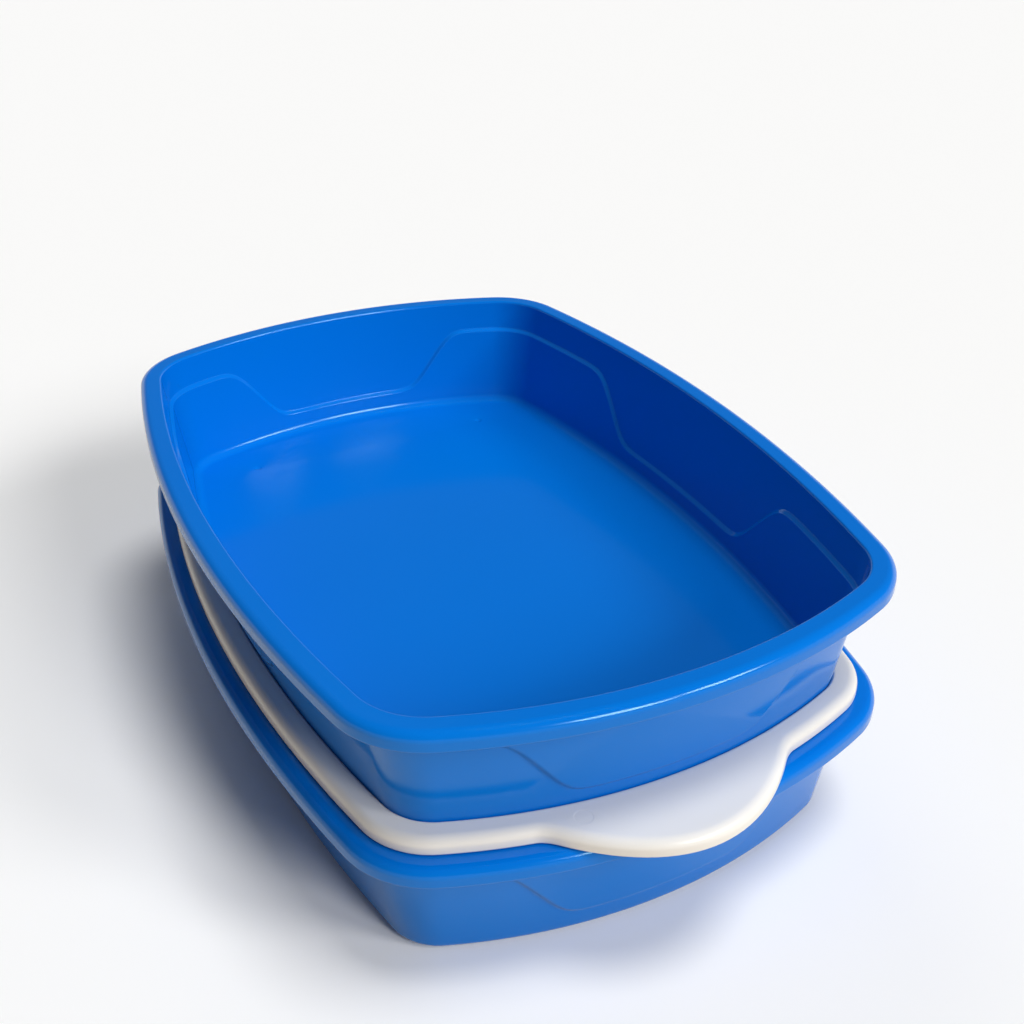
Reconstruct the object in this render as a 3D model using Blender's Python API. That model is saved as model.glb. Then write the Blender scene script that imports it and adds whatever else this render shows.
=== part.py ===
"""Sifting cat litter box: two identical pans and a perforated sifter tray that stack on one another.

Metres, +Z up. The origin is the middle of the bottom pan's underside. X runs across the trays and Y
along them. All three trays share one family of bowed outlines: an inset of so many metres is an outline
that runs parallel to the edge of the pan's rim, that far inside it.
"""

import math

import bmesh
import bpy

# Pan
pan_length = 0.480
pan_width = 0.336
pan_height = 0.076
end_bow = 0.0467
side_bow = 0.0345
rim_corner_radius = 0.051
rim_width = 0.013
skirt_depth = 0.010
base_inset = 0.024
base_corner_radius = 0.029

# Moulded section, the same on every tray
wall = 0.0025
floor_thickness = 0.003
base_fillet = 0.006
rim_round = 0.005
mouth_round = 0.0012

# Stepped line that runs round each wall, high at the corners and low in the middle of each side
step_depth = 0.002
step_height = 0.003
step_high_drop = 0.020
step_low_height = 0.016
step_end_margin = 0.0136
step_end_run = 0.030
step_side_margin = 0.0677
step_side_run = 0.033

# Sifter tray
sifter_rim_inset = 0.010
sifter_skirt_depth = 0.0088
sifter_base_inset = 0.0405
sifter_base_corner_radius = 0.026
sifter_step_low_height = 0.022

# Handle tab at each end of the sifter, a rounded lobe
tab_reach = 0.029
tab_half = 0.067

# Sieve holes in the sifter's floor
hole_diameter = 0.007
hole_pitch = 0.017
first_column = 0.0094
pattern_end_margin = 0.030
pattern_side_margin = 0.008
pattern_corner_radius = 0.050

# Clearances
seat_gap = 0.0003
rim_gap = 0.0005
cut_overrun = 0.002

# Shortest face along a rim, and counts of faces
least_face = 0.0025
middle_face_count = 2
slope_face_count = 3
side_last_face_count = 2
end_last_face_count = 1
tab_face_count = 4
corner_face_count = 4
hole_side_count = 6

# Worked out from the sizes above
half_length = pan_length / 2
half_width = pan_width / 2
end_radius = (half_width**2 + end_bow**2) / (2 * end_bow)
side_radius = (half_length**2 + side_bow**2) / (2 * side_bow)
sifter_height = pan_height + rim_gap + sifter_skirt_depth - floor_thickness - seat_gap
sifter_rest = floor_thickness + seat_gap
top_pan_rest = sifter_rest + sifter_height - mouth_round - base_fillet


class Outline:
    """A closed bowed outline: arcs along the sides and ends, joined by corner arcs."""

    def __init__(self, inset, corner_radius):
        self.side_radius = side_radius - inset
        self.end_radius = end_radius - inset
        self.side_centre_x = half_width - side_radius
        self.end_centre_y = half_length - end_radius
        self.corner_radius = corner_radius
        self.corner = self.find_corner()
        x, y = self.corner
        self.side_angle = math.atan2(y, x - self.side_centre_x)
        self.end_angle = math.atan2(x, y - self.end_centre_y)

    def find_corner(self):
        """Centre of the corner arc, inside both the side's and the end's circle by its radius."""
        near_side = self.side_radius - self.corner_radius
        near_end = self.end_radius - self.corner_radius
        across, along = self.side_centre_x, self.end_centre_y
        span = math.hypot(across, along)
        reach = (near_side**2 - near_end**2 + span**2) / (2 * span)
        rise = math.sqrt(near_side**2 - reach**2)
        x = across - reach * across / span - rise * along / span
        y = reach * along / span - rise * across / span
        return x, y

    def side_half(self):
        """How far along the tray the side's arc runs from its middle."""
        return self.side_radius * math.sin(self.side_angle)

    def end_half(self):
        """How far across the tray the end's arc runs from its middle."""
        return self.end_radius * math.sin(self.end_angle)

    def quarter(self, side_shares, end_shares):
        """Points from the middle of the side, round the corner, to the middle of the end."""
        points = []
        for share in side_shares:
            angle = self.side_angle * share
            points.append((self.side_centre_x + self.side_radius * math.cos(angle),
                           self.side_radius * math.sin(angle)))
        turn = math.pi / 2 - self.end_angle
        for step in range(1, corner_face_count):
            angle = self.side_angle + (turn - self.side_angle) * step / corner_face_count
            points.append((self.corner[0] + self.corner_radius * math.cos(angle),
                           self.corner[1] + self.corner_radius * math.sin(angle)))
        for share in reversed(end_shares):
            angle = self.end_angle * share
            points.append((self.end_radius * math.sin(angle),
                           self.end_centre_y + self.end_radius * math.cos(angle)))
        return points

    def contains(self, x, y):
        """Whether a point lies inside the outline."""
        x, y = abs(x), abs(y)
        corner_x, corner_y = self.corner
        if x > corner_x and y > corner_y:
            return math.hypot(x - corner_x, y - corner_y) <= self.corner_radius
        inside_side = math.hypot(x - self.side_centre_x, y) <= self.side_radius
        inside_end = math.hypot(x, y - self.end_centre_y) <= self.end_radius
        return inside_side and inside_end


def spread(half, stretches):
    """Shares of a half side or end that divide every stretch by its count, none too near the last one."""
    wanted = []
    for start, stop, count in stretches:
        wanted += [start + (stop - start) * i / count for i in range(count + 1)]
    positions = [0.0]
    for position in sorted(wanted):
        if position - positions[-1] >= least_face and half - position >= least_face:
            positions.append(position)
    return [position / half for position in [*positions, half]]


def ease(share):
    """A smooth 0 to 1 ramp, held at its ends."""
    share = min(max(share, 0.0), 1.0)
    return share * share * (3 - 2 * share)


class Tray:
    """One moulded tray, lofted as a closed shell from parallel outlines."""

    def __init__(self, inset, height, skirt, mouth, base, low_height, reach=0.0):
        self.inset = inset
        self.height = height
        self.skirt = skirt
        self.mouth_inset, self.mouth_radius = mouth
        self.base_inset, self.base_radius = base
        self.low_height = low_height
        self.reach = reach
        self.rim_outline = Outline(inset, rim_corner_radius - inset)
        corner_x, corner_y = self.rim_outline.corner
        self.end_slope = (corner_x - step_end_margin - step_end_run, corner_x - step_end_margin)
        self.side_slope = (corner_y - step_side_margin - step_side_run, corner_y - step_side_margin)
        self.side_shares = spread(self.rim_outline.side_half(), [
            (0, self.side_slope[0], middle_face_count),
            (*self.side_slope, slope_face_count),
            (self.side_slope[1], self.rim_outline.side_half(), side_last_face_count),
        ])
        tab = [(0, tab_half, tab_face_count)] if reach else []
        self.end_shares = spread(self.rim_outline.end_half(), [
            (0, self.end_slope[0], middle_face_count),
            (*self.end_slope, slope_face_count),
            (self.end_slope[1], self.rim_outline.end_half(), end_last_face_count),
            *tab,
        ])
        rim = self.ring(inset, self.rim_outline.corner_radius)
        self.step_levels = [self.step_level(x, y) for x, y in rim]

    def ring(self, inset, corner_radius):
        """The whole outline, anticlockwise from the middle of the +X side."""
        quarter = Outline(inset, corner_radius).quarter(self.side_shares, self.end_shares)
        to_left = [(-x, y) for x, y in reversed(quarter)]
        half = quarter + to_left[1:]
        return half + [(-x, -y) for x, y in half][1:-1]

    def step_level(self, x, y):
        """Height of the stepped line beside a point of the rim."""
        low, high = self.low_height, self.height - step_high_drop
        corner_x, corner_y = self.rim_outline.corner
        if abs(y) > corner_y:
            share = (abs(x) - self.end_slope[0]) / step_end_run
        else:
            share = (abs(y) - self.side_slope[0]) / step_side_run
        return low + (high - low) * ease(share)

    def wall_row(self, level, outside, above):
        """Inset and corner radius of the wall's face at a level, leaning from base to mouth."""
        share = level / self.height
        foot = self.base_inset - step_depth
        inset = foot + (self.mouth_inset - wall - foot) * share
        radius = self.base_radius + step_depth
        radius += (self.mouth_radius + wall - radius) * share
        shift = (0.0 if above else step_depth) + (0.0 if outside else wall)
        return inset + shift, radius - shift

    def flat(self, inset, radius, level):
        return [(x, y, level) for x, y in self.ring(inset, radius)]

    def rim_row(self, inset, level):
        """A row of the rim, pulled out along Y where the handle tabs are."""
        row = []
        for x, y in self.ring(self.inset + inset, self.rim_outline.corner_radius - inset):
            pull = 0.0
            if abs(x) < tab_half and abs(y) > self.rim_outline.corner[1]:
                pull = self.reach * (1 - (x / tab_half) ** 2)
            row.append((x, y + math.copysign(pull, y), level))
        return row

    def step_row(self, outside, above):
        """A row along the stepped line, above it or below it."""
        row = []
        offset = step_height / 2 if above else -step_height / 2
        rings = {}
        for index, line in enumerate(self.step_levels):
            level = line + offset
            if level not in rings:
                rings[level] = self.ring(*self.wall_row(level, outside, above))
            x, y = rings[level][index]
            row.append((x, y, level))
        return row

    def fillet_rows(self, outside, floor_level):
        """The lower edge of a wall's face, round from the wall down to the flat."""
        inset, radius = self.wall_row(floor_level + base_fillet, outside, above=False)
        rows = []
        for angle in (0, math.pi / 4, math.pi / 2):
            shift = base_fillet * (1 - math.cos(angle))
            level = floor_level + base_fillet * (1 - math.sin(angle))
            rows.append(self.flat(inset + shift, radius - shift, level))
        return rows

    def rows(self):
        """Every row of the shell, from the middle of the floor over the rim to the underside."""
        top = self.height
        inner = self.fillet_rows(outside=False, floor_level=floor_thickness)
        outer = self.fillet_rows(outside=True, floor_level=0.0)
        rounding = rim_round * (1 - math.cos(math.pi / 4))
        return [
            *reversed(inner),
            self.step_row(outside=False, above=False),
            self.step_row(outside=False, above=True),
            self.flat(self.mouth_inset, self.mouth_radius, top - mouth_round),
            self.flat(self.mouth_inset - mouth_round, self.mouth_radius + mouth_round, top),
            self.rim_row(rim_round, top),
            self.rim_row(rounding, top - rounding),
            self.rim_row(0.0, top - rim_round),
            self.rim_row(0.0, top - self.skirt),
            self.rim_row(wall, top - self.skirt),
            self.rim_row(wall, top - rim_round),
            self.rim_row(rim_round, top - wall),
            self.flat(self.mouth_inset - wall, self.mouth_radius + wall, top - wall),
            self.step_row(outside=True, above=True),
            self.step_row(outside=True, above=False),
            *outer,
        ]

    def build(self, name, rest, material):
        """The tray's mesh object, closed by the floor's top and the underside."""
        mesh = bpy.data.meshes.new(name)
        shell = bmesh.new()
        loops = [[shell.verts.new(point) for point in row] for row in self.rows()]
        count = len(loops[0])
        for lower, upper in zip(loops, loops[1:]):
            for i in range(count):
                j = (i + 1) % count
                shell.faces.new((lower[j], lower[i], upper[i], upper[j]))
        shell.faces.new(loops[0])
        shell.faces.new(list(reversed(loops[-1])))
        shell.normal_update()
        shell.to_mesh(mesh)
        shell.free()
        mesh.materials.append(material)
        mesh.shade_smooth()
        mesh.set_sharp_from_angle(angle=math.radians(35))
        tray = bpy.data.objects.new(name, mesh)
        tray.location.z = rest
        bpy.context.collection.objects.link(tray)
        return tray


def plastic(name, colour, roughness):
    material = bpy.data.materials.new(name)
    material.use_nodes = True
    shader = material.node_tree.nodes["Principled BSDF"]
    shader.inputs["Base Color"].default_value = (*colour, 1.0)
    shader.inputs["Roughness"].default_value = roughness
    shader.inputs["Metallic"].default_value = 0.0
    return material


def hole_places():
    """Centres of the sieve holes: staggered columns, clear of a strip down the middle and one across it."""
    floor_inset = sifter_base_inset + base_fillet
    narrowing = pattern_end_margin - pattern_side_margin
    pattern = Outline(floor_inset + pattern_side_margin, pattern_corner_radius)
    column_step = hole_pitch * math.sin(math.pi / 3)
    places = []
    for column in range(int(half_width / column_step)):
        x = first_column + column * column_step
        offset = hole_pitch / 2 if column % 2 == 0 else hole_pitch
        for row in range(int(half_length / hole_pitch)):
            y = offset + row * hole_pitch
            if pattern.contains(x, y + narrowing):
                places += [(x, y), (-x, y), (x, -y), (-x, -y)]
    return places


def hole_cutter(tray):
    """One prism for each sieve hole, standing through the sifter's floor."""
    mesh = bpy.data.meshes.new("hole_cutter")
    cutter = bmesh.new()
    low, high = -cut_overrun, floor_thickness + cut_overrun
    for x, y in hole_places():
        rings = []
        for level in (low, high):
            ring = []
            for side in range(hole_side_count):
                angle = 2 * math.pi * side / hole_side_count
                ring.append(cutter.verts.new((x + hole_diameter / 2 * math.cos(angle),
                                              y + hole_diameter / 2 * math.sin(angle), level)))
            rings.append(ring)
        bottom, top = rings
        cutter.faces.new(list(reversed(bottom)))
        cutter.faces.new(top)
        for i in range(hole_side_count):
            j = (i + 1) % hole_side_count
            cutter.faces.new((bottom[i], bottom[j], top[j], top[i]))
    cutter.to_mesh(mesh)
    cutter.free()
    holes = bpy.data.objects.new("hole_cutter", mesh)
    bpy.context.collection.objects.link(holes)
    holes.parent = tray
    holes.hide_render = True
    holes.display_type = "WIRE"
    return holes


def pan_shape():
    """The pan, whose mouth and base run parallel to its rim."""
    mouth = (rim_width, rim_corner_radius - rim_width)
    base = (base_inset, base_corner_radius)
    return Tray(0.0, pan_height, skirt_depth, mouth, base, step_low_height)


def sifter_shape(pan):
    """The sifter, whose mouth takes the base of the pan above it."""
    seat_inset, seat_radius = pan.wall_row(base_fillet, outside=True, above=False)
    mouth = (seat_inset - seat_gap, seat_radius + seat_gap)
    base = (sifter_base_inset, sifter_base_corner_radius)
    return Tray(sifter_rim_inset, sifter_height, sifter_skirt_depth, mouth, base,
                sifter_step_low_height, tab_reach)


def main():
    for item in list(bpy.data.objects):
        bpy.data.objects.remove(item, do_unlink=True)
    blue = plastic("blue_plastic", (0.0, 0.16, 0.68), 0.25)
    white = plastic("white_plastic", (0.82, 0.81, 0.78), 0.40)
    pan = pan_shape()
    pan.build("bottom_pan", 0.0, blue)
    sifter = sifter_shape(pan).build("sifter", sifter_rest, white)
    cut = sifter.modifiers.new("sieve_holes", "BOOLEAN")
    cut.operation = "DIFFERENCE"
    cut.solver = "EXACT"
    cut.object = hole_cutter(sifter)
    pan.build("top_pan", top_pan_rest, blue)


main()
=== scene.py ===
"""Looks of the sifting cat litter box: two glossy blue pans and a white sieve tray.

Metres, +Z up. The sizes repeat the part's own. Every outline is bowed: arcs along the sides and
ends, joined by corner arcs. An inset is an outline that runs parallel to the pan's rim, that far
inside it. A tray's mesh is a stack of closed rings, from the floor inside over the rim to the
underside, and a flat face closes it at each end.
"""

import math

import bpy
import numpy as np
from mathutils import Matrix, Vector, geometry


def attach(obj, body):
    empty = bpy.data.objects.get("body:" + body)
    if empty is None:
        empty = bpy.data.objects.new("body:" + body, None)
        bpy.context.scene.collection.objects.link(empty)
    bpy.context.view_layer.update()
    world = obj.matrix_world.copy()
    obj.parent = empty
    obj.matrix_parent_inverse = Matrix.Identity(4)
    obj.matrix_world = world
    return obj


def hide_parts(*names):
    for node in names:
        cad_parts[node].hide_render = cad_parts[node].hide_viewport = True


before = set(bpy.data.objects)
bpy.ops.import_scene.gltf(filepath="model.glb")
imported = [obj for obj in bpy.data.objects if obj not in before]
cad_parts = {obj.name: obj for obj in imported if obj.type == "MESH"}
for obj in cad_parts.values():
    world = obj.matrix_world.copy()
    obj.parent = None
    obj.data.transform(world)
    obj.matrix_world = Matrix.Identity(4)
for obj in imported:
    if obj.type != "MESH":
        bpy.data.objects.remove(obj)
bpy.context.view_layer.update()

# Pan
pan_length = 0.480
pan_width = 0.336
pan_height = 0.076
end_bow = 0.0467
side_bow = 0.0345
rim_corner_radius = 0.051
rim_width = 0.013
skirt_depth = 0.010
base_inset = 0.024
base_corner_radius = 0.029

# Moulded section, the same on every tray
wall = 0.0025
floor_thickness = 0.003
base_fillet = 0.006
rim_round_width = 0.0052
rim_round_height = 0.0046
mouth_round = 0.0012
under_fillet = 0.002

# Stepped line round each wall
step_depth = 0.002
inner_step_half_width = 0.0011
outer_step_half_width = 0.0018
step_high_drop = 0.020
step_low_height = 0.016
step_end_margin = 0.0136
step_end_run = 0.030
step_side_margin = 0.0677
step_side_run = 0.033
bend_sharpness = 8.0

# Sifter tray
sifter_rim_inset = 0.010
sifter_skirt_depth = 0.0088
sifter_base_inset = 0.0405
sifter_base_corner_radius = 0.026
sifter_step_low_height = 0.022
tab_reach = 0.029
tab_half = 0.067
tab_root_share = 0.14

# Sieve holes
hole_diameter = 0.0066
hole_pitch = 0.017
first_column = 0.0094
pattern_end_margin = 0.030
pattern_side_margin = 0.008
pattern_corner_radius = 0.050
lip_round = 0.0012
under_lip = 0.0004

# Small round marks, each ring as radius and depth, from the outside in
dimple_x = 0.082
dimple_y = 0.169
dimple_rings = [(0.0031, 0.0), (0.0028, 0.00004), (0.0025, 0.00016), (0.0021, 0.00038),
                (0.0016, 0.00060), (0.0011, 0.00074), (0.0006, 0.00080)]
gate_rings = [(0.0075, 0.0), (0.0070, 0.0001), (0.0066, 0.0004), (0.0062, 0.0005),
              (0.0020, 0.0005), (0.0016, 0.0003), (0.0012, 0.00022)]

# Ejector pin marks on the sifter's rim
pin_radius = 0.0045
pin_edge = 0.0003
pin_height = 0.0001
pin_places = [(-0.048, -0.224), (0.062, -0.208), (0.048, 0.224), (-0.062, 0.208)]

# Clearances
seat_gap = 0.0003
rim_gap = 0.0005

# Points along a ring, where the shares are what a corner leaves of a half side and a half end
fine_step = 0.0016
coarse_step = 0.0045
fine_margin = 0.012
side_share = 0.76
end_share = 0.70
corner_steps = 24
circle_sides = 20

# Rings round the section's curves
fillet_steps = 8
rim_round_steps = 10
skirt_lip_steps = 8
small_round_steps = 4

# Rings at the stepped line, which reach that many half widths of the step to each side of it
inner_step_reach = 2.4
outer_step_reach = 1.3
half_step_marks = (0.06, 0.18, 0.3, 0.42, 0.55, 0.75, 1.0)

# Rings between, as shares of the way from one curve to the next
lower_wall_shares = (0, 0.04, 0.35, 0.7)
upper_wall_shares = (0.3, 0.65, 0.94, 0.99, 1)
rim_top_shares = (0.06, 0.2, 0.4, 0.6, 0.8, 0.94)
skirt_shares = (0.15, 0.85)
rim_under_shares = (0.1, 0.5, 0.9)

# Rings on the flat floor, that far inside the fillet
floor_edge_gaps = (0.002, 0.0006)

# Flat faces, where a triangle within that share of an opening's radius is left out
opening_share = 0.99
same_point = 1e-7

half_length = pan_length / 2
half_width = pan_width / 2
end_radius = (half_width**2 + end_bow**2) / (2 * end_bow)
side_radius = (half_length**2 + side_bow**2) / (2 * side_bow)
side_centre_x = half_width - side_radius
end_centre_y = half_length - end_radius
sifter_height = pan_height + rim_gap + sifter_skirt_depth - floor_thickness - seat_gap
sifter_rest = floor_thickness + seat_gap
top_pan_rest = sifter_rest + sifter_height - mouth_round - base_fillet


# Outlines
def corner_centre(inset, radius):
    """Centre of a corner arc, inside both the side's and the end's circle by its radius."""
    near_side = side_radius - inset - radius
    near_end = end_radius - inset - radius
    span = math.hypot(side_centre_x, end_centre_y)
    reach = (near_side**2 - near_end**2 + span**2) / (2 * span)
    rise = np.sqrt(near_side**2 - reach**2)
    x = side_centre_x - reach * side_centre_x / span - rise * end_centre_y / span
    y = reach * end_centre_y / span - rise * side_centre_x / span
    return x, y


rim_corner_x, rim_corner_y = (float(value) for value in corner_centre(0.0, rim_corner_radius))
end_slope_start = rim_corner_x - step_end_margin - step_end_run
side_slope_start = rim_corner_y - step_side_margin - step_side_run


def inside_outline(inset, radius, x, y):
    """Whether a point lies inside an outline."""
    x, y = abs(x), abs(y)
    corner_x, corner_y = corner_centre(inset, radius)
    if x > corner_x and y > corner_y and (x - corner_x) * (y - end_centre_y) > 0:
        side_turn = math.atan2(y - corner_y, x - corner_x)
        side_angle = math.atan2(corner_y, corner_x - side_centre_x)
        end_angle = math.atan2(corner_x, corner_y - end_centre_y)
        if side_angle < side_turn < math.pi / 2 - end_angle:
            return math.hypot(x - corner_x, y - corner_y) < radius
    return (math.hypot(x - side_centre_x, y) < side_radius - inset
            and math.hypot(x, y - end_centre_y) < end_radius - inset)


def spaced(half, fine_from, fine_to):
    """Shares from 0 to 1 of a half side or end, close together between two positions."""
    positions = [0.0]
    while positions[-1] < half - fine_step:
        last = positions[-1]
        near = fine_from - coarse_step <= last <= fine_to
        positions.append(last + (fine_step if near else coarse_step))
    return np.array([*[p for p in positions if p < half - fine_step], half]) / half


class Stations:
    """The points of one quarter of a ring: along the side, round the corner, along the end."""

    SIDE, CORNER, END = 0, 1, 2

    def __init__(self):
        side = spaced(half_length * side_share, side_slope_start - fine_margin,
                      side_slope_start + step_side_run + fine_margin)
        end = spaced(half_width * end_share, end_slope_start - fine_margin,
                     end_slope_start + step_end_run + fine_margin)
        corner = np.arange(1, corner_steps) / corner_steps
        self.kind = np.concatenate([np.full(len(side), self.SIDE),
                                    np.full(len(corner), self.CORNER),
                                    np.full(len(end), self.END)])
        self.share = np.concatenate([side, corner, end[::-1]])
        self.count = len(self.kind)

    def quarter(self, inset, radius):
        """x and y of each station. Inset and corner radius may vary from station to station."""
        inset = np.broadcast_to(np.asarray(inset, float), self.count)
        radius = np.broadcast_to(np.asarray(radius, float), self.count)
        side_r, end_r = side_radius - inset, end_radius - inset
        corner_x, corner_y = corner_centre(inset, radius)
        side_angle = np.arctan2(corner_y, corner_x - side_centre_x)
        end_angle = np.arctan2(corner_x, corner_y - end_centre_y)
        on_side = side_angle * self.share
        on_end = end_angle * self.share
        on_corner = side_angle + (math.pi / 2 - end_angle - side_angle) * self.share
        kinds = [self.kind == self.SIDE, self.kind == self.CORNER, self.kind == self.END]
        x = np.select(kinds, [side_centre_x + side_r * np.cos(on_side),
                              corner_x + radius * np.cos(on_corner),
                              end_r * np.sin(on_end)])
        y = np.select(kinds, [side_r * np.sin(on_side),
                              corner_y + radius * np.sin(on_corner),
                              end_centre_y + end_r * np.cos(on_end)])
        return x, y

    def ring(self, x, y, z):
        """A whole ring from one quarter, anticlockwise from the middle of the +X side."""
        z = np.broadcast_to(np.asarray(z, float), self.count)
        back = slice(self.count - 2, None, -1)
        inner = slice(self.count - 2, 0, -1)
        xs = np.concatenate([x, -x[back], -x[1:], x[inner]])
        ys = np.concatenate([y, y[back], -y[1:], -y[inner]])
        zs = np.concatenate([z, z[back], z[1:], z[inner]])
        return np.stack([xs, ys, zs], axis=1)


def edge_normal(x, y):
    """Outward normal of a quarter's edge, which goes on mirrored past both its ends."""
    ex = np.concatenate([[x[1]], x, [-x[-2]]])
    ey = np.concatenate([[-y[1]], y, [y[-2]]])
    dx, dy = ex[2:] - ex[:-2], ey[2:] - ey[:-2]
    length = np.hypot(dx, dy)
    return dy / length, -dx / length


def circle(x, y, radius, level):
    """A level ring of points, anticlockwise."""
    angles = np.arange(circle_sides) * (2 * math.pi / circle_sides)
    return np.stack([x + radius * np.cos(angles), y + radius * np.sin(angles),
                     np.full(circle_sides, level)], axis=1)


def between(start, stop, shares):
    """Rings at the given shares of the way from one ring to another."""
    return [start + (stop - start) * share for share in shares]


def smooth(share):
    """A soft 0 to 1 step."""
    share = np.clip(share, 0.0, 1.0)
    return share * share * (3 - 2 * share)


def soft_ramp(share):
    """A straight 0 to 1 ramp with rounded bends at its ends."""
    k = bend_sharpness
    return (np.logaddexp(0, k * share) - np.logaddexp(0, k * (share - 1))) / k


# Trays
class Tray:
    """The rings of one moulded tray, standing at height 0.

    mouth and base are each an inset and a corner radius. line is the height of the stepped line
    at each station, and line_scale turns a distance square to that line into a height.
    """

    def __init__(self, inset, height, skirt, mouth, base, low_height, reach=0.0):
        self.height = height
        self.skirt = skirt
        self.mouth_inset, self.mouth_radius = mouth
        self.base_inset, self.base_radius = base
        self.reach = reach
        self.stations = Stations()
        rim_x, rim_y = self.stations.quarter(inset, rim_corner_radius - inset)
        share = np.where(rim_y > rim_corner_y, (rim_x - end_slope_start) / step_end_run,
                         (rim_y - side_slope_start) / step_side_run)
        high = height - step_high_drop
        self.line = low_height + (high - low_height) * soft_ramp(share)
        steps = np.hypot(np.gradient(rim_x), np.gradient(rim_y))
        self.line_scale = np.sqrt(1 + (np.gradient(self.line) / steps) ** 2)
        self.outer = self.pulled_edge(rim_x, rim_y)
        self.outer_normal = edge_normal(*self.outer)

    def pulled_edge(self, x, y):
        """The rim's outer edge, pulled out along Y where the handle tab is."""
        if not self.reach:
            return x, y
        lobe = 1 - (x / tab_half) ** 2
        blend = np.clip(0.5 + 0.5 * lobe / tab_root_share, 0, 1)
        pull = self.reach * (lobe * blend + tab_root_share * blend * (1 - blend))
        return x, y + np.where(y > rim_corner_y, pull, 0.0)

    def edge_ring(self, offset, level):
        """A ring that far inside the rim's outer edge."""
        x, y = self.outer
        nx, ny = self.outer_normal
        return self.stations.ring(x - nx * offset, y - ny * offset, level)

    def inset_ring(self, inset, radius, level):
        """A ring on an outline of that inset and corner radius."""
        return self.stations.ring(*self.stations.quarter(inset, radius), level)

    def wall_inset(self, level, outside, drop):
        """Inset and corner radius of a wall's face, where drop is the depth below the line."""
        share = level / self.height
        foot = self.base_inset - step_depth
        inset = foot + (self.mouth_inset - wall - foot) * share
        radius = self.base_radius + step_depth
        radius = radius + (self.mouth_radius + wall - radius) * share
        half = outer_step_half_width if outside else inner_step_half_width
        shift = step_depth * smooth((drop + half) / (2 * half)) + (0.0 if outside else wall)
        return inset + shift, radius - shift

    def wall_rings(self, outside, foot_level, top_level):
        """Rings from the lower fillet's top up to the mouth, close together at the line."""
        if outside:
            reach = outer_step_reach * outer_step_half_width
        else:
            reach = inner_step_reach * inner_step_half_width
        marks = np.array([-mark for mark in reversed(half_step_marks)] + [*half_step_marks])
        low = self.line - reach * self.line_scale
        high = self.line + reach * self.line_scale
        rings = []
        for share in lower_wall_shares:
            level = foot_level + (low - foot_level) * share
            rings.append((level, (self.line - level) / self.line_scale))
        for mark in marks * reach:
            rings.append((self.line + mark * self.line_scale,
                          np.full(self.stations.count, -mark)))
        for share in upper_wall_shares:
            level = high + (top_level - high) * share
            rings.append((level, (self.line - level) / self.line_scale))
        return [self.inset_ring(*self.wall_inset(level, outside, drop), level)
                for level, drop in rings]

    def fillet_rings(self, outside, floor_level):
        """The round from the flat floor up to the foot of a wall's face."""
        level = np.full(self.stations.count, floor_level + base_fillet)
        drop = (self.line - level) / self.line_scale
        inset, radius = self.wall_inset(level, outside, drop)
        rings = []
        for gap in floor_edge_gaps:
            shift = base_fillet + gap
            rings.append(self.inset_ring(inset + shift, radius - shift, floor_level))
        for angle in np.linspace(math.pi / 2, 0, fillet_steps + 1):
            shift = base_fillet * (1 - math.cos(angle))
            rings.append(self.inset_ring(inset + shift, radius - shift,
                                         floor_level + base_fillet * (1 - math.sin(angle))))
        return rings

    def rim_rings(self):
        """From the mouth across the rim, down the skirt, round its edge and back under the rim."""
        top, lip, ceiling = self.height, wall / 2, self.height - wall
        small_angles = np.linspace(0, math.pi / 2, small_round_steps + 1)
        rings = []
        for angle in small_angles[1:]:
            inward = mouth_round * (1 - math.cos(angle))
            rings.append(self.inset_ring(self.mouth_inset - inward, self.mouth_radius + inward,
                                         top - mouth_round * (1 - math.sin(angle))))
        crest = self.edge_ring(rim_round_width, top)
        rings += between(rings[-1], crest, rim_top_shares)
        for angle in np.linspace(0, math.pi / 2, rim_round_steps + 1):
            rings.append(self.edge_ring(rim_round_width * (1 - math.sin(angle)),
                                        top - rim_round_height * (1 - math.cos(angle))))
        edge_level = top - self.skirt + lip
        rings += between(rings[-1], self.edge_ring(0.0, edge_level), skirt_shares)
        for angle in np.linspace(0, math.pi, skirt_lip_steps + 1):
            rings.append(self.edge_ring(lip * (1 - math.cos(angle)),
                                        edge_level - lip * math.sin(angle)))
        rings.append(self.edge_ring(wall, ceiling - under_fillet))
        for angle in small_angles[1:]:
            rings.append(self.edge_ring(wall + under_fillet * (1 - math.cos(angle)),
                                        ceiling - under_fillet * (1 - math.sin(angle))))
        level = np.full(self.stations.count, ceiling - under_fillet)
        inset, radius = self.wall_inset(level, True, (self.line - level) / self.line_scale)
        root = self.inset_ring(inset - under_fillet, radius + under_fillet, ceiling)
        rings += between(rings[-1], root, rim_under_shares)
        for angle in small_angles[:-1]:
            outward = under_fillet * (1 - math.sin(angle))
            rings.append(self.inset_ring(inset - outward, radius + outward,
                                         ceiling - under_fillet * (1 - math.cos(angle))))
        return rings

    def shell(self):
        """Every ring, from the floor inside over the rim to the underside."""
        inside_foot = floor_thickness + base_fillet
        inner = self.fillet_rings(False, floor_thickness)
        inner += self.wall_rings(False, inside_foot, self.height - mouth_round)[1:]
        outer = self.fillet_rings(True, 0.0)
        outer += self.wall_rings(True, base_fillet, self.height - wall - under_fillet)[1:]
        return inner + self.rim_rings() + outer[::-1]


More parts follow.
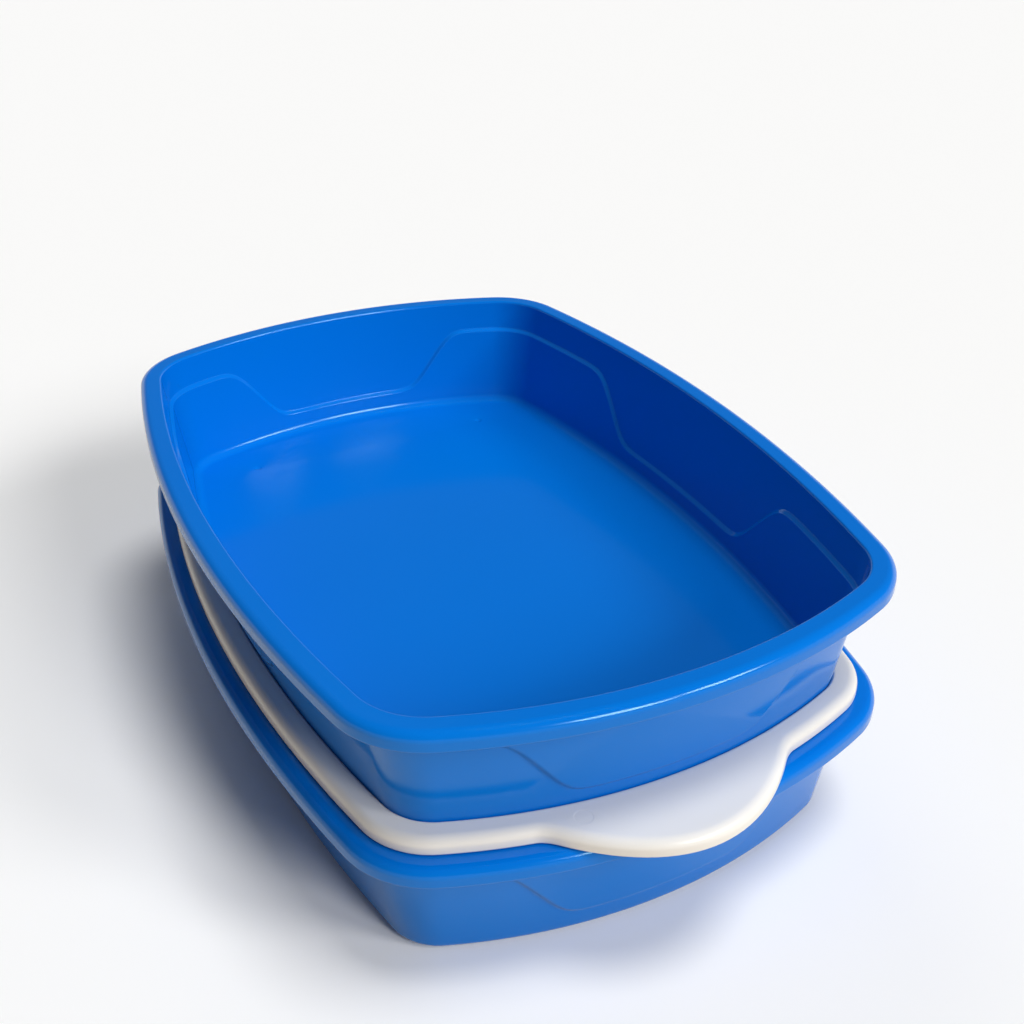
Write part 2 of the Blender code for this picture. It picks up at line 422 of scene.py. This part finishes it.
class Surface:
    """Collects the points and faces of one mesh."""

    def __init__(self):
        self.points = []
        self.faces = []
        self.count = 0

    def add(self, points):
        """Adds points and returns their numbers."""
        start = self.count
        self.points.append(np.asarray(points, float))
        self.count += len(points)
        return np.arange(start, self.count)

    def bridge(self, first, second):
        """A strip of quads from one closed ring to the next."""
        a, b = np.roll(first, -1), np.roll(second, -1)
        self.faces += np.stack([a, first, second, b], axis=1).tolist()

    def disc(self, x, y, profile, upward):
        """A small round mark, from its outer ring in to a flat middle. Returns the outer ring."""
        rings = [self.add(circle(x, y, radius, level)) for radius, level in profile]
        for outer, inner in zip(rings, rings[1:]):
            self.bridge(*((inner, outer) if upward else (outer, inner)))
        middle = rings[-1].tolist()
        self.faces.append(middle if upward else middle[::-1])
        return rings[0]

    def fill(self, border, openings, upward):
        """A flat face inside a border ring, round the given openings."""
        everything = np.concatenate([border, *openings])
        points = np.concatenate(self.points)[everything][:, :2]
        edges, discs, start = [], [], 0
        for ring in (border, *openings):
            size = len(ring)
            edges += [(start + i, start + (i + 1) % size) for i in range(size)]
            if ring is not border:
                centre = points[start:start + size].mean(axis=0)
                reach = np.hypot(*(points[start] - centre)) * opening_share
                discs.append([*centre, reach])
            start += size
        discs = np.array(discs).reshape(-1, 3)
        found = geometry.delaunay_2d_cdt([Vector(p) for p in points], edges, [], 0, same_point)
        source = [origins[0] for origins in found[3]]
        for triangle in found[2]:
            corners = [source[i] for i in triangle]
            middle = points[corners].mean(axis=0)
            away = np.hypot(discs[:, 0] - middle[0], discs[:, 1] - middle[1])
            if (away < discs[:, 2]).any():
                continue
            (ax, ay), (bx, by), (cx, cy) = points[corners]
            if ((bx - ax) * (cy - ay) - (by - ay) * (cx - ax) > 0) != upward:
                corners = corners[::-1]
            self.faces.append([int(everything[i]) for i in corners])

    def build(self, name, material):
        """The mesh as an object in the scene."""
        mesh = bpy.data.meshes.new(name)
        mesh.from_pydata(np.concatenate(self.points).tolist(), [], self.faces)
        mesh.validate()
        mesh.materials.append(material)
        mesh.shade_smooth()
        piece = bpy.data.objects.new(name, mesh)
        bpy.context.scene.collection.objects.link(piece)
        return piece


def hole_places():
    """The sieve's columns of holes, every second column shifted by half a pitch."""
    column_pitch = hole_pitch * math.sin(math.pi / 3)
    inset = sifter_base_inset + base_fillet + pattern_side_margin
    places = []
    for column in range(int(half_width / column_pitch)):
        x = first_column + column * column_pitch
        for row in range(int(half_length / hole_pitch) + 1):
            y = hole_pitch * (row + 0.5) if column % 2 == 0 else hole_pitch * row
            outermost = y + pattern_end_margin - pattern_side_margin
            if y > 0 and inside_outline(inset, pattern_corner_radius, x, outermost):
                places += [(sx * x, sy * y) for sx in (-1, 1) for sy in (-1, 1)]
    return places


def hole_profile():
    """Radius and level of each ring of a sieve hole, from the underside up."""
    radius = hole_diameter / 2
    rings = [(radius + under_lip, 0.0), (radius, under_lip)]
    for angle in np.linspace(math.pi / 2, 0, small_round_steps + 1):
        rings.append((radius + lip_round * (1 - math.sin(angle)),
                      floor_thickness - lip_round * (1 - math.cos(angle))))
    return rings


def build_tray(name, tray, rest, material, holes, top_discs, under_discs):
    """Builds one tray's mesh, with its floor, its underside and whatever breaks them."""
    surface = Surface()
    rings = [surface.add(ring + [0, 0, rest]) for ring in tray.shell()]
    for first, second in zip(rings, rings[1:]):
        surface.bridge(first, second)
    top_rings, under_rings = [], []
    for x, y in holes:
        bores = [surface.add(circle(x, y, radius, level + rest))
                 for radius, level in hole_profile()]
        for lower, upper in zip(bores, bores[1:]):
            surface.bridge(lower, upper)
        top_rings.append(bores[-1])
        under_rings.append(bores[0])
    for x, y, profile in top_discs:
        raised = [(radius, level + rest) for radius, level in profile]
        top_rings.append(surface.disc(x, y, raised, True))
    for x, y, profile in under_discs:
        raised = [(radius, level + rest) for radius, level in profile]
        under_rings.append(surface.disc(x, y, raised, False))
    surface.fill(rings[0], top_rings, True)
    surface.fill(rings[-1], under_rings, False)
    return surface.build(name, material)


# Materials
def noise(nodes, links, place, scale, detail):
    """Soft noise from 0 to 1, with that many features to the metre."""
    texture = nodes.new("ShaderNodeTexNoise")
    texture.inputs["Scale"].default_value = scale
    texture.inputs["Detail"].default_value = detail
    links.new(place, texture.inputs["Vector"])
    return texture.outputs["Fac"]


def remap(nodes, links, value, low, high, to_low, to_high):
    """Turns low to high into to_low to to_high, and goes no further at either end."""
    node = nodes.new("ShaderNodeMapRange")
    sockets = ("From Min", "From Max", "To Min", "To Max")
    for socket, number in zip(sockets, (low, high, to_low, to_high)):
        node.inputs[socket].default_value = number
    links.new(value, node.inputs["Value"])
    return node.outputs["Result"]


def bump(nodes, links, height, distance, normal=None):
    """Relief of a height from 0 to 1, that distance high, on top of an earlier relief."""
    node = nodes.new("ShaderNodeBump")
    node.inputs["Strength"].default_value = 1.0
    node.inputs["Distance"].default_value = distance
    links.new(height, node.inputs["Height"])
    if normal is not None:
        links.new(normal, node.inputs["Normal"])
    return node.outputs["Normal"]


def pin_mark(nodes, links, place, x, y):
    """Height of the faint step that an ejector pin leaves round itself."""
    across = nodes.new("ShaderNodeVectorMath")
    across.operation = "MULTIPLY"
    across.inputs[1].default_value = (1, 1, 0)
    links.new(place, across.inputs[0])
    distance = nodes.new("ShaderNodeVectorMath")
    distance.operation = "DISTANCE"
    distance.inputs[1].default_value = (x, y, 0)
    links.new(across.outputs["Vector"], distance.inputs[0])
    return remap(nodes, links, distance.outputs["Value"],
                 pin_radius - pin_edge, pin_radius + pin_edge, 0.0, 1.0)


# Features to the metre
flow_scale = 7.0
waviness_scale = 12.0
wear_scale = 18.0
peel_scale = 700.0

# How much of the noise's range the colour and the gloss use
flow_range = (0.2, 0.8)
wear_range = (0.1, 0.9)

# Relief, and how far the roughness goes below and above its middle
peel_height = 0.000003
gloss_dip = 0.02
gloss_rise = 0.03


def moulded_plastic(name, colour, deep_colour, roughness, specular, tint, waviness, pins=()):
    """Injection-moulded plastic: flow marks, uneven gloss, slow waviness and orange peel."""
    material = bpy.data.materials.new(name)
    material.use_nodes = True
    nodes, links = material.node_tree.nodes, material.node_tree.links
    shader = nodes["Principled BSDF"]
    shader.inputs["Base Color"].default_value = (*colour, 1)
    shader.inputs["Roughness"].default_value = roughness
    shader.inputs["Specular IOR Level"].default_value = specular
    shader.inputs["Specular Tint"].default_value = (*tint, 1)
    place = nodes.new("ShaderNodeTexCoord").outputs["Object"]
    flow = noise(nodes, links, place, flow_scale, 0.0)
    mix = nodes.new("ShaderNodeMix")
    mix.data_type = "RGBA"
    mix.inputs["A"].default_value = (*deep_colour, 1)
    mix.inputs["B"].default_value = (*colour, 1)
    links.new(remap(nodes, links, flow, *flow_range, 0.0, 1.0), mix.inputs["Factor"])
    links.new(mix.outputs["Result"], shader.inputs["Base Color"])
    wear = noise(nodes, links, place, wear_scale, 0.0)
    uneven = remap(nodes, links, wear, *wear_range, roughness - gloss_dip, roughness + gloss_rise)
    links.new(uneven, shader.inputs["Roughness"])
    relief = bump(nodes, links, noise(nodes, links, place, waviness_scale, 0.0), waviness)
    relief = bump(nodes, links, noise(nodes, links, place, peel_scale, 1.0), peel_height, relief)
    for x, y in pins:
        relief = bump(nodes, links, pin_mark(nodes, links, place, x, y), pin_height, relief)
    links.new(relief, shader.inputs["Normal"])
    return material


blue_plastic = moulded_plastic("Blue_plastic", colour=(0.0, 0.166, 0.660),
                               deep_colour=(0.0, 0.158, 0.640), roughness=0.13, specular=0.36,
                               tint=(0.62, 1.0, 1.0), waviness=0.00025)
white_plastic = moulded_plastic("White_plastic", colour=(0.80, 0.79, 0.765),
                                deep_colour=(0.792, 0.781, 0.752), roughness=0.30, specular=0.45,
                                tint=(1, 1, 1), waviness=0.0002, pins=pin_places)

# Pieces
pan = Tray(0.0, pan_height, skirt_depth, (rim_width, rim_corner_radius - rim_width),
           (base_inset, base_corner_radius), step_low_height)

# The sifter's mouth goes round the pan's outside at the top of its lower fillet, a gap away
seat_share = base_fillet / pan_height
pan_foot = base_inset - step_depth
seat_inset = pan_foot + (rim_width - wall - pan_foot) * seat_share
seat_radius = base_corner_radius + step_depth
seat_radius += (rim_corner_radius - rim_width + wall - seat_radius) * seat_share
sifter = Tray(sifter_rim_inset, sifter_height, sifter_skirt_depth,
              (seat_inset + step_depth - seat_gap, seat_radius - step_depth + seat_gap),
              (sifter_base_inset, sifter_base_corner_radius), sifter_step_low_height, tab_reach)

dimple_profile = [(radius, floor_thickness - depth) for radius, depth in dimple_rings]
dimples = [(x, y, dimple_profile) for y in (dimple_y, -dimple_y) for x in (-dimple_x, dimple_x)]
gates = [(0.0, 0.0, gate_rings)]

for name, tray, rest, material, slot, holes, top_discs, under_discs in (
        ("bottom_pan", pan, 0.0, blue_plastic, "blue_plastic", [], dimples, gates),
        ("sifter", sifter, sifter_rest, white_plastic, "white_plastic", hole_places(), [], []),
        ("top_pan", pan, top_pan_rest, blue_plastic, "blue_plastic", [], dimples, gates)):
    piece = build_tray(name + "_shell", tray, rest, material, holes, top_discs, under_discs)
    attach(piece, name)
    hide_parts(name)

# Stage
floor_size = 60.0
floor_seen_colour = (0.93, 0.93, 0.93, 1)
floor_bounce_colour = (0.85, 0.72, 0.57, 1)
window_colour = (1.0, 0.985, 0.96)
sky_colour = (0.97, 0.985, 1.0)
sky_strength = 0.11

# Backdrop: the heights up the sky between which it dims, and its brightness below and above
fade_from, fade_to = 0.14, 0.32
low_brightness, high_brightness = 0.97, 0.09


def seen_ray(nodes, links):
    """One for the rays that show a thing, straight on or reflected, and nought for the others."""
    path = nodes.new("ShaderNodeLightPath")
    seen = path.outputs["Is Camera Ray"]
    for ray in ("Is Glossy Ray", "Is Transmission Ray"):
        larger = nodes.new("ShaderNodeMath")
        larger.operation = "MAXIMUM"
        links.new(seen, larger.inputs[0])
        links.new(path.outputs[ray], larger.inputs[1])
        seen = larger.outputs["Value"]
    return seen


def stage_floor():
    """A pale floor that bounces warm light but looks neutral when seen or reflected."""
    bpy.ops.mesh.primitive_plane_add(size=floor_size, location=(0, 0, 0))
    floor = bpy.context.object
    floor.name = "Stage_floor"
    material = bpy.data.materials.new("Stage_floor")
    material.use_nodes = True
    nodes, links = material.node_tree.nodes, material.node_tree.links
    nodes.clear()
    seen, bounced = nodes.new("ShaderNodeBsdfDiffuse"), nodes.new("ShaderNodeBsdfDiffuse")
    seen.inputs["Color"].default_value = floor_seen_colour
    bounced.inputs["Color"].default_value = floor_bounce_colour
    mix = nodes.new("ShaderNodeMixShader")
    links.new(seen_ray(nodes, links), mix.inputs["Fac"])
    links.new(bounced.outputs["BSDF"], mix.inputs[1])
    links.new(seen.outputs["BSDF"], mix.inputs[2])
    out = nodes.new("ShaderNodeOutputMaterial")
    links.new(mix.outputs["Shader"], out.inputs["Surface"])
    floor.data.materials.append(material)


def sun(name, direction, strength, spread, colour, mirrored):
    """Even light from one direction, softened by the angle in degrees that its source spans."""
    data = bpy.data.lights.new(name, "SUN")
    data.energy = strength
    data.angle = math.radians(spread)
    data.color = colour
    light = bpy.data.objects.new(name, data)
    light.visible_glossy = mirrored
    light.rotation_euler = Vector(direction).to_track_quat("Z", "Y").to_euler()
    bpy.context.scene.collection.objects.link(light)


def studio_world():
    """Even and dim where it lights, and pale towards the horizon where it is seen."""
    world = bpy.data.worlds.new("Studio")
    bpy.context.scene.world = world
    world.use_nodes = True
    nodes, links = world.node_tree.nodes, world.node_tree.links
    split = nodes.new("ShaderNodeSeparateXYZ")
    links.new(nodes.new("ShaderNodeTexCoord").outputs["Generated"], split.inputs["Vector"])
    lighting, backdrop = nodes["Background"], nodes.new("ShaderNodeBackground")
    lighting.inputs["Color"].default_value = (*sky_colour, 1)
    lighting.inputs["Strength"].default_value = sky_strength
    backdrop.inputs["Color"].default_value = (1, 1, 1, 1)
    brightness = remap(nodes, links, split.outputs["Z"], fade_from, fade_to,
                       low_brightness, high_brightness)
    links.new(brightness, backdrop.inputs["Strength"])
    mix = nodes.new("ShaderNodeMixShader")
    links.new(seen_ray(nodes, links), mix.inputs["Fac"])
    links.new(lighting.outputs["Background"], mix.inputs[1])
    links.new(backdrop.outputs["Background"], mix.inputs[2])
    links.new(mix.outputs["Shader"], nodes["World Output"].inputs["Surface"])


stage_floor()
sun("Window_right", direction=(0.53, -0.65, 0.55), strength=1.00, spread=15.0,
    colour=window_colour, mirrored=True)
sun("Window_front", direction=(0.24, -0.83, 0.50), strength=1.50, spread=18.0,
    colour=window_colour, mirrored=True)
sun("Overhead", direction=(0.18, -0.12, 0.98), strength=1.44, spread=22.0,
    colour=(1.0, 1.0, 1.0), mirrored=False)
sun("Rear", direction=(0.05, 0.72, 0.69), strength=0.28, spread=30.0,
    colour=sky_colour, mirrored=False)
studio_world()

# Camera, turned down from level and to the right
camera_dip = 0.532
camera_turn = -0.458
camera_data = bpy.data.cameras.new("Camera")
camera_data.lens = 45.7
camera_data.sensor_width = 36.0
camera_data.clip_end = 50.0
camera = bpy.data.objects.new("Camera", camera_data)
camera.location = (-0.270, -0.601, 0.502)
camera.rotation_euler = (math.pi / 2 - camera_dip, 0.0, camera_turn)
bpy.context.scene.collection.objects.link(camera)
bpy.context.scene.camera = camera
bpy.context.scene.view_settings.view_transform = "Standard"
